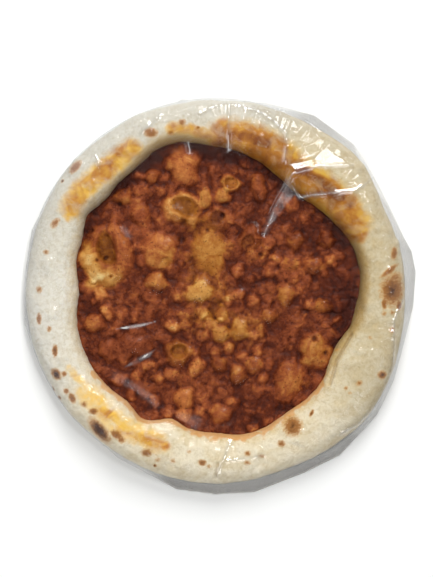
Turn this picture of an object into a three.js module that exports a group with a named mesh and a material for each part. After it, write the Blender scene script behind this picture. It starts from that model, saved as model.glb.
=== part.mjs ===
// A par-baked pizza base with baked tomato sauce, sealed in a clear film bag that is drawn down onto it.
// Millimetres, +Z up. The origin is the middle of the bag, on its flat underside. Seen from above, +X is to
// the right and +Y is away. A bearing is in degrees, anticlockwise from +X, about the middle of the bread.
// The sealed bag and what it holds are one solid: the bread's raised rim, the sunken field of sauce with its
// blisters, and the spare film that stands out round the foot as a flat skirt.
import * as THREE from "three";

// Driving dimensions of the bread and its sauce.
const BREAD_MIDDLE = [-3.6, 5.2];
const BREAD_RADIUS = 140.5;
const WELL_RADIUS = 105;
const RIM_HEIGHT = 23;
const RIM_FULLNESS = 2.5; // 2 is a round arch, more is a squarer one
const SAUCE_LEVEL = 9;
const SAUCE_CROWN = 1.5; // the floor of the well stands higher in the middle
const SHOULDER_IN = 3; // the rim's arch ends this far inside its widest line
const SHOULDER_LEVEL = 13;
const GIRTH_LEVEL = 8.5; // height at which the bread is widest

// Driving dimensions of the film.
const FILM_CLEARANCE = 1;
const SKIRT_EDGE = 1; // height of the spare film's edge where it lies on the table
const SKIRT_STARTS = 1.5; // spare film narrower than this is drawn in under the bread
const SKIRT_LIES_FLAT = 6; // and wider than this, it lies flat
const TUCK_IN = 9; // how far a drawn-in edge runs in under the bread
const SIDE_TURN = Math.PI / 3; // of the quarter turn under the bread, as much as the side shows

// Mesh density. The well's rings grow by six points each, so that its faces stay about equal.
const WELL_RINGS = 28;
const RIM_RINGS = 12;
const SKIRT_RINGS = 3;
const POINTS_ROUND = 6 * WELL_RINGS;
const UNDER_RINGS = [
  [1, POINTS_ROUND],
  [0.75, POINTS_ROUND / 2],
  [0.35, POINTS_ROUND / 7],
  [0, 1],
];

// Slow swells of an outline or a height: bearing of the middle, size in mm, and half width in degrees.
const BREAD_SWELLS = [
  [26, -2.5, 10],
  [172, -1, 12],
  [268, 3, 22],
  [320, 6.5, 22],
];
const WELL_SWELLS = [
  [12, 3, 14],
  [50, -12, 22],
  [108, 8, 14],
  [150, 4, 6],
  [181, -4, 9],
  [214, 3, 14],
  [240, 4.5, 5],
  [252, -4.5, 6],
  [284, 4, 12],
  [333, -6.5, 11],
];
const RIM_SWELLS = [
  [20, 1.5, 20],
  [75, -2, 16],
  [130, -1.5, 14],
  [195, 1, 18],
  [236, 2, 12],
  [285, -1, 14],
  [325, 1.5, 16],
];

// The corners that hold the film's outline out, as bearing and distance. It runs straight between them.
const FILM_CORNERS = [
  [5, 149.5],
  [11, 148.6],
  [16, 145],
  [26, 143],
  [37, 144.5],
  [46.5, 149],
  [60.5, 148.8],
  [66, 145.5],
  [75.5, 142.5],
  [100, 142.7],
  [137, 142],
  [148, 141],
  [162, 142.8],
  [174, 141],
  [189, 144.3],
  [197, 141.5],
  [236, 142],
  [240, 144],
  [250, 145.5],
  [259, 151],
  [270, 152],
  [281, 153.2],
  [296, 151.3],
  [307, 154],
  [322, 152],
  [333, 148.5],
  [340, 146],
  [355, 147.5],
];

// Blisters of the sauce: x, y, half length, half width, turn in degrees, height, depth of the sunken middle.
const BLISTERS = [
  [-23, 91, 16, 12, 90, 7, 0],
  [-24, 60, 16, 13.5, -10, 7, 5],
  [-80.5, 25.5, 24, 19.5, 100, 7.5, 3],
  [-41.5, 28, 15, 12, 100, 6.5, 0],
  [-43, 6, 9.5, 8, 0, 5.5, 0],
  [-27.5, -46.5, 11.5, 11, 0, 6.5, 4.5],
  [74.5, -46, 14.5, 13, 120, 7, 1.5],
  [54, -67, 17, 11, 80, 6.5, 0],
  [-68, 69, 8, 7, 20, 5.5, 0],
  [-46.5, 84, 7, 5.5, 60, 4.5, 0],
  [-55, 55, 9, 8, 80, 5, 0],
  [-7, 67, 5, 9, 0, 4.5, 0],
  [5.5, 69, 6.5, 6, 0, 4.5, 0],
  [11, 78, 8, 7.5, 0, 5.5, 4],
  [32, 75.5, 13, 6, 95, 5.5, 0],
  [1.5, 52, 10.5, 10, 0, 5, 2],
  [26, 38, 11, 9, 60, 5, 2.5],
  [59, 36.5, 8, 7, 80, 5.5, 0],
  [82, 37, 7, 7, 0, 5, 0],
  [72.5, 18, 8, 7, 0, 6, 0],
  [55.5, 19, 7, 6.5, 0, 4.5, 0],
  [52.5, -5, 9, 6.5, 80, 5, 0],
  [80, -12, 8, 6, 0, 5, 0],
  [40, -19.5, 7, 6, 0, 4, 0],
  [-12, -2, 12, 8, 15, 5.5, 0],
  [-3, 24, 17, 9, 85, 4.5, 0],
  [4.5, -33, 8, 6.5, 0, 5, 0],
  [18, -30.5, 8, 8, 0, 5.5, 0],
  [28.5, -55.5, 7.5, 6.5, 0, 5, 0],
  [17, -63, 8, 7, 80, 5.5, 0],
  [3, -55, 6.5, 6, 0, 4.5, 0],
  [-23, -80.5, 9, 8, 90, 6, 0],
  [-23, -92, 7, 6, 0, 5, 0],
  [4, -92, 8.5, 8, 0, 6, 0],
  [-89, -25, 8, 7.5, 0, 5.5, 0],
  [-71, -49.5, 10, 6.5, -12, 5, 0],
  [-59, -32, 8, 6, 0, 4, 0],
  [-53, -73, 11, 6, 150, 4, 0],
];

// Small blisters are scattered between the large ones.
const SMALL_BLISTERS = 70;
const SMALL_RADIUS = [4.5, 7];
const SMALL_HEIGHT = [1.4, 2.8];
const SCATTER_RADIUS = 97;
const SEED = 20311;

const radians = THREE.MathUtils.degToRad;
const mix = THREE.MathUtils.lerp;
const smooth = THREE.MathUtils.smoothstep;

// A repeatable draw between 0 and 1.
function seededDraw(seed) {
  let state = seed;
  return () => {
    state = (state * 48271) % 2147483647;
    return state / 2147483647;
  };
}

// How much the swells in a list add at a bearing.
function swell(list, bearing) {
  let total = 0;
  for (const [at, size, over] of list) {
    const away = ((bearing - at + 540) % 360) - 180;
    total += size * Math.exp(-((away / over) ** 2));
  }
  return total;
}

const breadRadius = (bearing) => BREAD_RADIUS + swell(BREAD_SWELLS, bearing);
const wellRadius = (bearing) => WELL_RADIUS + swell(WELL_SWELLS, bearing);
const rimHeight = (bearing) => RIM_HEIGHT + swell(RIM_SWELLS, bearing);

// The film's outline: a straight line from corner to corner, and nowhere inside the bread.
function bagRadius(bearing) {
  const next = Math.max(0, FILM_CORNERS.findIndex(([at]) => at > bearing));
  const [fromAt, fromRadius] = FILM_CORNERS.at(next - 1);
  const [toAt, toRadius] = FILM_CORNERS[next];
  const before = radians((bearing - fromAt + 360) % 360);
  const after = radians((toAt - bearing + 360) % 360);
  const chord =
    (fromRadius * toRadius * Math.sin(before + after)) /
    (fromRadius * Math.sin(before) + toRadius * Math.sin(after));
  return Math.max(chord, breadRadius(bearing) + FILM_CLEARANCE);
}

// 0 where the film is drawn in under the bread, 1 where it lies out flat as a skirt.
function skirtShare(bearing) {
  const spare = bagRadius(bearing) - breadRadius(bearing);
  return smooth(spare, SKIRT_STARTS, SKIRT_LIES_FLAT);
}

function scatteredBlisters() {
  const draw = seededDraw(SEED);
  const between = ([low, high]) => mix(low, high, draw());
  return Array.from({ length: SMALL_BLISTERS }, () => {
    const bearing = 2 * Math.PI * draw();
    const distance = SCATTER_RADIUS * Math.sqrt(draw());
    const radius = between(SMALL_RADIUS);
    const middle = [distance * Math.cos(bearing), distance * Math.sin(bearing)];
    return [...middle, radius, radius, 0, between(SMALL_HEIGHT), 0];
  });
}

const ALL_BLISTERS = [...BLISTERS, ...scatteredBlisters()];

// Height of one blister over the sauce: a smooth dome, sunk in its middle where it has burst.
function blisterHeight([cx, cy, length, width, turn, height, sunk], x, y) {
  const c = Math.cos(radians(turn));
  const s = Math.sin(radians(turn));
  const along = ((x - cx) * c + (y - cy) * s) / length;
  const across = ((y - cy) * c - (x - cx) * s) / width;
  const square = along * along + across * across;
  if (square >= 1) return 0;
  return height * (1 - square * square) - sunk * Math.exp(-square / 0.18);
}

// Height of the sauce field at a point.
function sauceHeight(x, y) {
  const fromMiddle = Math.hypot(x, y) / WELL_RADIUS;
  const floor = SAUCE_LEVEL + SAUCE_CROWN * (1 - fromMiddle ** 2);
  return floor + Math.max(0, ...ALL_BLISTERS.map((blister) => blisterHeight(blister, x, y)));
}

// Each section gives a point, as distance from the middle and height, at a share from 0 to 1 of its way.
function wellSection(bearing, share) {
  const distance = share * wellRadius(bearing);
  const x = distance * Math.cos(radians(bearing));
  const y = distance * Math.sin(radians(bearing));
  return [distance, sauceHeight(x, y)];
}

// Where the film lies out flat, it leaves the rim at its shoulder. Elsewhere it follows the rim to its
// widest line.
function rimEdge(bearing) {
  const flat = skirtShare(bearing);
  return [
    mix(bagRadius(bearing), breadRadius(bearing) - SHOULDER_IN, flat),
    mix(GIRTH_LEVEL, SHOULDER_LEVEL, flat),
  ];
}

function rimSection(bearing, share) {
  const [outer, edgeLevel] = rimEdge(bearing);
  const turn = Math.PI * share;
  const across = Math.sign(Math.cos(turn)) * Math.abs(Math.cos(turn)) ** (2 / RIM_FULLNESS);
  const arch = Math.max(0, Math.sin(turn)) ** (2 / RIM_FULLNESS);
  const foot = mix(wellSection(bearing, 1)[1], edgeLevel, share);
  return [mix(outer, wellRadius(bearing), (1 + across) / 2), mix(foot, rimHeight(bearing), arch)];
}

// From the rim's edge to the film's: a slope to the table where the film lies flat, and a round side where
// it is drawn in.
function skirtSection(bearing, share) {
  const [outer, level] = rimEdge(bearing);
  const turn = share * SIDE_TURN;
  const drawnIn = [outer - TUCK_IN * (1 - Math.cos(turn)), level * (1 - Math.sin(turn))];
  const spread = [mix(outer, bagRadius(bearing), share), mix(level, SKIRT_EDGE, share ** 0.7)];
  const flat = skirtShare(bearing);
  return [mix(drawnIn[0], spread[0], flat), mix(drawnIn[1], spread[1], flat)];
}

function underSection(bearing, share) {
  const foot = bagRadius(bearing) - TUCK_IN * (1 - skirtShare(bearing));
  return [foot * share, 0];
}

// The rings of points, from the middle of the sauce, over the rim and the skirt, to the underside's middle.
function* rings() {
  yield [wellSection, 0, 1];
  for (let i = 1; i <= WELL_RINGS; i += 1) yield [wellSection, i / WELL_RINGS, 6 * i];
  for (let i = 1; i <= RIM_RINGS; i += 1) yield [rimSection, i / RIM_RINGS, POINTS_ROUND];
  for (let i = 1; i <= SKIRT_RINGS; i += 1) yield [skirtSection, i / SKIRT_RINGS, POINTS_ROUND];
  for (const [share, count] of UNDER_RINGS) yield [underSection, share, count];
}

// Joins one ring to the next with triangles, stepping each time on the ring that is behind.
function joinRings(before, after, triangles) {
  let i = before.count === 1 ? 1 : 0;
  let j = after.count === 1 ? 1 : 0;
  while (i < before.count || j < after.count) {
    const a = before.start + (i % before.count);
    const b = after.start + (j % after.count);
    const stepBefore = j >= after.count || (i + 1) * after.count <= (j + 1) * before.count;
    if (stepBefore && i < before.count) {
      i += 1;
      triangles.push(a, b, before.start + (i % before.count));
    } else {
      j += 1;
      triangles.push(a, b, after.start + (j % after.count));
    }
  }
}

function bagGeometry() {
  const points = [];
  const triangles = [];
  let before = null;
  for (const [section, share, count] of rings()) {
    const ring = { start: points.length, count };
    for (let i = 0; i < count; i += 1) {
      const bearing = (360 * i) / count;
      const [distance, height] = section(bearing, share);
      const x = distance * Math.cos(radians(bearing));
      const y = distance * Math.sin(radians(bearing));
      points.push(new THREE.Vector3(x, y, height));
    }
    if (before) joinRings(before, ring, triangles);
    before = ring;
  }
  const geometry = new THREE.BufferGeometry().setFromPoints(points);
  geometry.setIndex(triangles);
  geometry.computeVertexNormals();
  return geometry;
}

const filmOverDough = new THREE.MeshStandardMaterial({
  color: 0xe0d6bd,
  roughness: 0.3,
  metalness: 0,
});

const baggedBase = new THREE.Mesh(bagGeometry(), filmOverDough);
baggedBase.name = "bagged_pizza_base";
baggedBase.position.set(...BREAD_MIDDLE, 0);

const pizzaBase = new THREE.Group();
pizzaBase.name = "pizza_base";
pizzaBase.add(baggedBase);

export default pizzaBase;
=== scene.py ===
"""A par-baked pizza base with baked tomato sauce, sealed in a clear film bag and seen from above.

The plan classes hold sizes in millimetres and bearings in degrees, anticlockwise from +X about the middle of
the bread. Meshes are in metres, in the frame's own place: +Z up, +X to the right and +Y away.
"""

import logging
import math
from collections.abc import Callable, Iterator, Sequence
from contextlib import contextmanager
from dataclasses import dataclass, field
from enum import Enum

import bpy
import numpy as np
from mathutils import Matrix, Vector, noise


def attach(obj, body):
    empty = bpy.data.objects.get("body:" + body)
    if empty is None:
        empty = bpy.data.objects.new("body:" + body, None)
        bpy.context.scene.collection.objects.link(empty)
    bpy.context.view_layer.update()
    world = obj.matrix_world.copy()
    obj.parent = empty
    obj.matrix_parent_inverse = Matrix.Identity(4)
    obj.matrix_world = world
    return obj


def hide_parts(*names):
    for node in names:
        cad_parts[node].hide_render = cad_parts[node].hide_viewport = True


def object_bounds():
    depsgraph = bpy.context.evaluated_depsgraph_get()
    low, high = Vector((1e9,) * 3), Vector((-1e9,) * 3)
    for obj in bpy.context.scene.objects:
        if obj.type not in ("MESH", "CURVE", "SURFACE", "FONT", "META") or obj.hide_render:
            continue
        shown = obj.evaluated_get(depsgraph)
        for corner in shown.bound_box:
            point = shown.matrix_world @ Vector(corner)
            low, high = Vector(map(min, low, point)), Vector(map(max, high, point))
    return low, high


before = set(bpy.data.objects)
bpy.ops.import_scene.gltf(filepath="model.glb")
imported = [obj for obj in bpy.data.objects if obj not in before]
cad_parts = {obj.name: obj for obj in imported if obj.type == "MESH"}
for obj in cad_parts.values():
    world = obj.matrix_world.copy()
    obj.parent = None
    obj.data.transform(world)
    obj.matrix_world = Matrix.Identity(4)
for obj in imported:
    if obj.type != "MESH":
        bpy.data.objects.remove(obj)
CAD_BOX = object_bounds()

Array = np.ndarray
Colour = tuple[float, float, float, float]
Path = tuple[tuple[float, float], ...]
Tones = tuple[tuple[float, str], ...]
Spot = tuple[float, float, float]

MM = 0.001
SOLID = "bagged_pizza_base"
BODY = "root"
PHOTO_SIZE = (433, 577)
MM_PER_PIXEL = 0.74

log = logging.getLogger("pizza_base")


class Slot(Enum):
    """Names of the three finishes."""

    CRUST = "crust"
    SAUCE = "sauce"
    FILM = "film"


# ---- Small tools: colours, noise and masks ----


def srgb(code: str) -> Colour:
    """Turns a colour as seen on a screen into the linear values that shaders take.

    Args:
        code: Six hexadecimal digits, such as "DDD5C0".

    Returns:
        Red, green, blue and an alpha of 1.
    """
    shown = [int(code[i : i + 2], 16) / 255 for i in (0, 2, 4)]
    red, green, blue = [v / 12.92 if v <= 0.04045 else ((v + 0.055) / 1.055) ** 2.4 for v in shown]
    return (red, green, blue, 1.0)


def smoothstep(low: float, high: float, values: Array) -> Array:
    """Rises smoothly from 0 at low to 1 at high.

    Args:
        low: Where the rise starts. It may be above high for a fall.
        high: Where the rise ends.
        values: The values to read.

    Returns:
        One number from 0 to 1 for each value.
    """
    share = np.clip((values - low) / (high - low), 0.0, 1.0)
    return share * share * (3 - 2 * share)


def soft_noise(points: Array, size: float, octaves: int = 1, shift: float = 0.0) -> Array:
    """Smooth noise over a set of points.

    Args:
        points: Places, in mm.
        size: Width of the largest bumps, in mm.
        octaves: How many finer layers are laid over each other, each half as wide and as high.
        shift: Moves the pattern, so that two fields differ.

    Returns:
        About -1 to 1 for each point.
    """
    places = (points / size + np.array((shift, 1.7 * shift, -0.6 * shift))).tolist()
    return np.array([noise.fractal(place, 1.0, 2.0, octaves) for place in places])


def cell_domes(points: Array, size: float, shift: float = 0.0, reach: float = 0.66) -> tuple[Array, Array]:
    """Round domes packed at random, as of bubbles lying side by side.

    Args:
        points: Places, in mm.
        size: Usual distance between two domes, in mm.
        shift: Moves the pattern.
        reach: Radius of a dome, as a share of size.

    Returns:
        The domes, 0 between them and 1 on top of each, and a number by chance from 0 to 1 for each dome.
    """
    places = (points / size + np.array((shift, -shift, 0.3 * shift))).tolist()
    found = [noise.voronoi(place) for place in places]
    nearest = np.array([distances[0] for distances, _ in found])
    middles = np.array([tuple(centres[0]) for _, centres in found])
    chance = np.abs(middles @ np.array((12.98, 78.23, 37.7))) % 1
    return np.sqrt(np.clip(1 - (nearest / reach) ** 2, 0, 1)), chance


def bell(away: Array, width: float) -> Array:
    """A soft bump: 1 at 0, and about a third one width away."""
    return np.exp(-((away / width) ** 2))


def on_floor(plan_points: Array) -> Array:
    """Places in plan as points at level 0."""
    return np.column_stack((plan_points, np.zeros(len(plan_points))))


@dataclass(frozen=True)
class Relief:
    """A layer of uneven relief: the width and height of its largest bumps, in mm."""

    size: float
    height: float
    octaves: int
    shift: float = 0.0

    def rise(self, points: Array) -> Array:
        """What the layer adds at each point, in mm."""
        return self.height * soft_noise(points, self.size, self.octaves, self.shift)


def rows(kind: type, *table: tuple) -> tuple:
    """Makes one of a kind from each row of a table."""
    return tuple(kind(*row) for row in table)


def path_distance(plan_points: Array, path: Path) -> Array:
    """Distance from points to a broken line, in plan.

    Args:
        plan_points: Places as rows of x and y, in mm.
        path: The line's corners.

    Returns:
        The shortest distance for each point, in mm.
    """
    nearest = np.full(len(plan_points), np.inf)
    for start, end in zip(path, path[1:]):
        a, b = np.array(start), np.array(end)
        along = np.clip((plan_points - a) @ (b - a) / ((b - a) @ (b - a)), 0, 1)
        gap = np.hypot(*(plan_points - a - along[:, None] * (b - a)).T)
        nearest = np.minimum(nearest, gap)
    return nearest


@dataclass(frozen=True)
class Oval:
    """An oval in plan: its middle, half its length and width in mm, and the bearing of its length."""

    x: float
    y: float
    length: float
    width: float
    turn: float

    def reach(self, plan_points: Array) -> Array:
        """Distance from the oval's middle, 0 there and 1 on its edge."""
        c, s = math.cos(math.radians(self.turn)), math.sin(math.radians(self.turn))
        dx, dy = plan_points[:, 0] - self.x, plan_points[:, 1] - self.y
        return np.hypot((dx * c + dy * s) / self.length, (dy * c - dx * s) / self.width)


# ---- The plan that every piece is fitted to ----


@dataclass(frozen=True)
class Swell:
    """A slow swell of an outline or a height, at one bearing."""

    bearing: float
    size: float
    half_width: float


def swelling(swells: Sequence[Swell], bearing: Array) -> Array:
    """Adds up what the swells give at each bearing, in mm."""
    total = np.zeros_like(bearing)
    for swell in swells:
        away = (bearing - swell.bearing + 180) % 360 - 180
        total += swell.size * bell(away, swell.half_width)
    return total


@dataclass(frozen=True)
class Plan:
    """Outlines and heights of the bread and its bag: the solid's, but with fuller bread at 42 degrees."""

    middle: tuple[float, float] = (-3.6, 5.2)
    bread_radius: float = 140.5
    well_radius: float = 105.0
    rim_height: float = 23.0
    rim_fullness: float = 2.5
    girth_level: float = 8.5
    sauce_level: float = 9.0
    sauce_crown: float = 1.5
    film_clearance: float = 1.0
    skirt_starts: float = 1.5
    skirt_lies_flat: float = 6.0
    tuck_in: float = 9.0
    bread_swells: tuple[Swell, ...] = rows(
        Swell,
        (26, -2.5, 10), (42, 3.5, 12), (172, -1, 12), (268, 3, 22), (320, 6.5, 22),
    )
    well_swells: tuple[Swell, ...] = rows(
        Swell,
        (12, 3, 14), (50, -12, 22), (108, 8, 14), (150, 4, 6), (181, -4, 9), (214, 3, 14), (240, 4.5, 5),
        (252, -4.5, 6), (284, 4, 12), (333, -6.5, 11),
    )
    rim_swells: tuple[Swell, ...] = rows(
        Swell,
        (20, 1.5, 20), (75, -2, 16), (130, -1.5, 14), (195, 1, 18), (236, 2, 12), (285, -1, 14),
        (325, 1.5, 16),
    )
    film_corners: Path = (
        (5, 149.5), (11, 148.6), (16, 145), (26, 143), (37, 144.5), (46.5, 149), (60.5, 148.8),
        (66, 145.5), (75.5, 142.5), (100, 142.7), (137, 142), (148, 141), (162, 142.8), (174, 141),
        (189, 144.3), (197, 141.5), (236, 142), (240, 144), (250, 145.5), (259, 151), (270, 152),
        (281, 153.2), (296, 151.3), (307, 154), (322, 152), (333, 148.5), (340, 146), (355, 147.5),
    )

    def bread(self, bearing: Array) -> Array:
        """The bread's widest radius at each bearing, in mm."""
        return self.bread_radius + swelling(self.bread_swells, bearing)

    def well(self, bearing: Array) -> Array:
        """Radius of the sauce's edge at each bearing, in mm."""
        return self.well_radius + swelling(self.well_swells, bearing)

    def rim(self, bearing: Array) -> Array:
        """Height of the rim's top, under the film, at each bearing, in mm."""
        return self.rim_height - self.film_clearance + swelling(self.rim_swells, bearing)

    def bag(self, bearing: Array) -> Array:
        """Radius of the film's outline, straight from corner to corner, at each bearing, in mm."""
        corners = np.radians([corner[0] for corner in self.film_corners])
        reach = np.array([corner[1] for corner in self.film_corners])
        angle = np.radians(bearing % 360)
        after = np.searchsorted(corners, angle, side="right") % len(corners)
        before = after - 1
        past = (angle - corners[before]) % (2 * math.pi)
        ahead = (corners[after] - angle) % (2 * math.pi)
        chord = reach[before] * reach[after] * np.sin(past + ahead)
        chord /= reach[before] * np.sin(past) + reach[after] * np.sin(ahead)
        return np.maximum(chord, self.bread(bearing) + self.film_clearance)

    def lying_flat(self, bearing: Array) -> Array:
        """0 where the film is drawn in under the bread, 1 where it lies out flat as a skirt."""
        return smoothstep(self.skirt_starts, self.skirt_lies_flat, self.bag(bearing) - self.bread(bearing))

    def far_side(self, bearing: Array) -> Array:
        """1 on the far side, where the rim's inner slope lies in shade, and 0 on the near side."""
        return smoothstep(-0.35, 0.45, np.sin(np.radians(bearing + 25)))

    def floor(self, plan_points: Array) -> Array:
        """Level of the sauce between its blisters, under the film, in mm."""
        share = np.hypot(*plan_points.T) / self.well_radius
        return self.sauce_level - self.film_clearance + self.sauce_crown * (1 - share**2)


def polar(plan_points: Array) -> tuple[Array, Array]:
    """Splits places in plan into distance from the middle, in mm, and bearing, in degrees."""
    x, y = plan_points.T
    return np.hypot(x, y), np.degrees(np.arctan2(y, x)) % 360


# ---- Mesh tools ----


def clear_selection() -> None:
    """Deselects every object."""
    bpy.ops.object.select_all(action="DESELECT")


def take(piece: bpy.types.Object) -> None:
    """Selects one object alone and makes it the active one."""
    clear_selection()
    piece.select_set(True)
    bpy.context.view_layer.objects.active = piece


@contextmanager
def modelling() -> Iterator[None]:
    """Runs a block in edit mode, with no edge selected at first and all faces turned outwards at the end."""
    bpy.ops.object.mode_set(mode="EDIT")
    bpy.ops.mesh.select_mode(type="EDGE")
    bpy.ops.mesh.select_all(action="DESELECT")
    yield
    bpy.ops.mesh.select_all(action="SELECT")
    bpy.ops.mesh.normals_make_consistent(inside=False)
    bpy.ops.object.mode_set(mode="OBJECT")


def draw_out_rings(rings: Sequence[tuple[float, float]], radius: float, level: float) -> None:
    """Extrudes the selected ring of edges again and again, and resizes each new ring.

    Args:
        rings: Radius and level of each new ring, in mm.
        radius: Radius of the ring that is selected.
        level: Its level.
    """
    for next_radius, next_level in rings:
        rise = (0, 0, (next_level - level) * MM)
        bpy.ops.mesh.extrude_region_move(TRANSFORM_OT_translate={"value": rise})
        scale = next_radius / radius
        bpy.ops.transform.resize(value=(scale, scale, 1), center_override=(0, 0, next_level * MM))
        radius, level = next_radius, next_level


def apply_subdivision(piece: bpy.types.Object, levels: int) -> None:
    """Rounds a cage with an applied Subdivision Surface modifier."""
    take(piece)
    modifier = piece.modifiers.new("rounding", "SUBSURF")
    modifier.levels = levels
    modifier.render_levels = levels
    bpy.ops.object.modifier_apply(modifier=modifier.name)


def read_points(piece: bpy.types.Object) -> Array:
    """The mesh's points as rows of x, y and z, in mm."""
    values = np.empty(3 * len(piece.data.vertices))
    piece.data.vertices.foreach_get("co", values)
    return values.reshape(-1, 3) / MM


def read_normals(piece: bpy.types.Object) -> Array:
    """The direction that the mesh faces at each point."""
    values = np.empty(3 * len(piece.data.vertices))
    piece.data.vertices.foreach_get("normal", values)
    return values.reshape(-1, 3)


def write_points(piece: bpy.types.Object, points: Array) -> None:
    """Moves the mesh's points to rows of x, y and z, in mm."""
    piece.data.vertices.foreach_set("co", (points * MM).ravel())
    piece.data.update()


def write_masks(piece: bpy.types.Object, **masks: Array) -> None:
    """Keeps values for each point as mesh attributes, which materials read by their names.

    Args:
        piece: The mesh to write on.
        **masks: The values under each name. They are cut to run from 0 to 1.
    """
    for name, values in masks.items():
        layer = piece.data.attributes.new(name, "FLOAT", "POINT")
        layer.data.foreach_set("value", np.clip(values, 0, 1).astype(np.float32))


def round_grid(name: str, cells: int, radius: Callable[[Array], Array]) -> bpy.types.Object:
    """Models a flat grid of even cells, rounded off and drawn out to an uneven outline.

    Args:
        name: The new piece's name.
        cells: How many cells it has from side to side.
        radius: Gives the outline's radius at each bearing, in mm.

    Returns:
        The new piece.
    """
    clear_selection()
    bpy.ops.mesh.primitive_grid_add(x_subdivisions=cells, y_subdivisions=cells, size=2 * MM)
    piece = bpy.context.object
    piece.name = piece.data.name = name
    u, v = read_points(piece)[:, :2].T
    disc = np.column_stack((u * np.sqrt(1 - v * v / 2), v * np.sqrt(1 - u * u / 2)))
    write_points(piece, on_floor(disc * radius(polar(disc)[1])[:, None]))
    return piece


def hand_over(piece: bpy.types.Object, material: bpy.types.Material, slot: Slot, plan: Plan) -> None:
    """Dresses a finished piece, sets it in its place inside the solid's box and ties it to the frame.

    Args:
        piece: The piece, still built round the middle of the bread.
        material: Its finish.
        slot: Not used.
        plan: Says where the middle of the bread is.
    """
    low, high = np.array(CAD_BOX) / MM
    write_points(piece, np.clip(read_points(piece) + np.array((*plan.middle, 0)), low, high))
    piece.data.materials.clear()
    piece.data.materials.append(material)
    take(piece)
    bpy.ops.object.shade_smooth()
    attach(piece, BODY)
    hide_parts(SOLID)
    log.info("%s: %d faces", piece.name, len(piece.data.polygons))


# ---- Material tools ----


class NodeSheet:
    """Lays out the nodes of one material or node group."""

    def __init__(self, tree: bpy.types.NodeTree) -> None:
        """Starts on an empty tree."""
        self.tree = tree
        self.tree.nodes.clear()

    def add(self, kind: str, inputs: dict | None = None, **settings: object) -> bpy.types.Node:
        """Adds a node.

        Args:
            kind: The node's type.
            inputs: What feeds its inputs: a socket to link, or a plain value, by the input's name or number.
            **settings: The node's own settings.

        Returns:
            The node.
        """
        node = self.tree.nodes.new(kind)
        for name, value in settings.items():
            setattr(node, name, value)
        for name, value in (inputs or {}).items():
            self.feed(node.inputs[name], value)
        return node

    def feed(self, socket: bpy.types.NodeSocket, value: object) -> None:
        """Links a socket into another, or sets its plain value."""
        if isinstance(value, bpy.types.NodeSocket):
            self.tree.links.new(value, socket)
        else:
            socket.default_value = value

    def math(self, operation: str, first: object, second: object = 0.0, clamp: bool = False) -> object:
        """One step of arithmetic on two values, as an output socket."""
        inputs = {0: first, 1: second}
        return self.add("ShaderNodeMath", inputs, operation=operation, use_clamp=clamp).outputs[0]

    def times(self, first: object, second: object) -> object:
        """The product of two values, as an output socket."""
        return self.math("MULTIPLY", first, second)

    def plus(self, first: object, second: object, clamp: bool = False) -> object:
        """The sum of two values, as an output socket."""
        return self.math("ADD", first, second, clamp)

    def ramp(self, value: object, low: float, high: float) -> object:
        """Rises smoothly from 0 at low to 1 at high, as an output socket."""
        inputs = {"Value": value, "From Min": low, "From Max": high}
        node = self.add("ShaderNodeMapRange", inputs, interpolation_type="SMOOTHSTEP", clamp=True)
        return node.outputs["Result"]

    def blend(self, share: object, first: object, second: object, how: str = "MIX") -> object:
        """Mixes two colours, as an output socket."""
        inputs = {0: share, 6: first, 7: second}
        return self.add("ShaderNodeMix", inputs, data_type="RGBA", blend_type=how).outputs[2]

    def coat(
        self, under: object, code: str, share: object, strength: float = 1.0, how: str = "MIX"
    ) -> object:
        """Lays a colour over another.

        Args:
            under: The colour so far.
            code: Colour code of what lies over it.
            share: The socket that says where it lies.
            strength: How dense it is at most.
            how: How the two are mixed.

        Returns:
            The new colour's output socket.
        """
        density = share if strength == 1 else self.times(share, strength)
        return self.blend(density, under, srgb(code), how)

    def tones(self, value: object, stops: Tones) -> object:
        """Turns a value into a colour along named tones.

        Args:
            value: The socket to read.
            stops: Place from 0 to 1 and colour code of each tone.

        Returns:
            The colour's output socket.
        """
        node = self.add("ShaderNodeValToRGB", {"Fac": value})
        elements = node.color_ramp.elements
        while len(elements) < len(stops):
            elements.new(1.0)
        for element, (place, code) in zip(elements, stops):
            element.position = place
            element.color = srgb(code)
        return node.outputs["Color"]

    def bump(self, height: object, strength: float, distance: float, **more: object) -> object:
        """Turns a height into fine relief, as a normal's output socket."""
        inputs = {"Strength": strength, "Distance": distance, "Height": height, **more}
        return self.add("ShaderNodeBump", inputs).outputs["Normal"]

    def end(self, shader: str, inputs: dict) -> None:
        """Ends a material with its last shader."""
        last = self.add(shader, inputs)
        self.add("ShaderNodeOutputMaterial", {"Surface": last.outputs[0]})

    def place(self) -> object:
        """The piece's own coordinates, in metres."""
        return self.add("ShaderNodeTexCoord").outputs["Object"]

    def mask(self, name: str) -> object:
        """A mesh attribute's value."""
        return self.add("ShaderNodeAttribute", attribute_name=name).outputs["Fac"]

    def mottle(self, size: float, detail: float = 3.0, warp: float = 0.0, shift: float = 0.0) -> object:
        """Noise from the shared mottle group.

        Args:
            size: Width of its patches, in mm.
            detail: How many finer layers it has.
            warp: How far its patches are pulled into swirls.
            shift: Moves the pattern, so that two of them differ.

        Returns:
            An output socket that runs from 0 to 1, mostly near 0.5.
        """
        values = {"Size": size, "Detail": detail, "Warp": warp, "Shift": shift}
        return self.add("ShaderNodeGroup", values, node_tree=mottle_group()).outputs[0]

    def wander(self, *mottle: float) -> object:
        """The same noise, moved so that it lies round 0."""
        return self.math("SUBTRACT", self.mottle(*mottle), 0.5)


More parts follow.
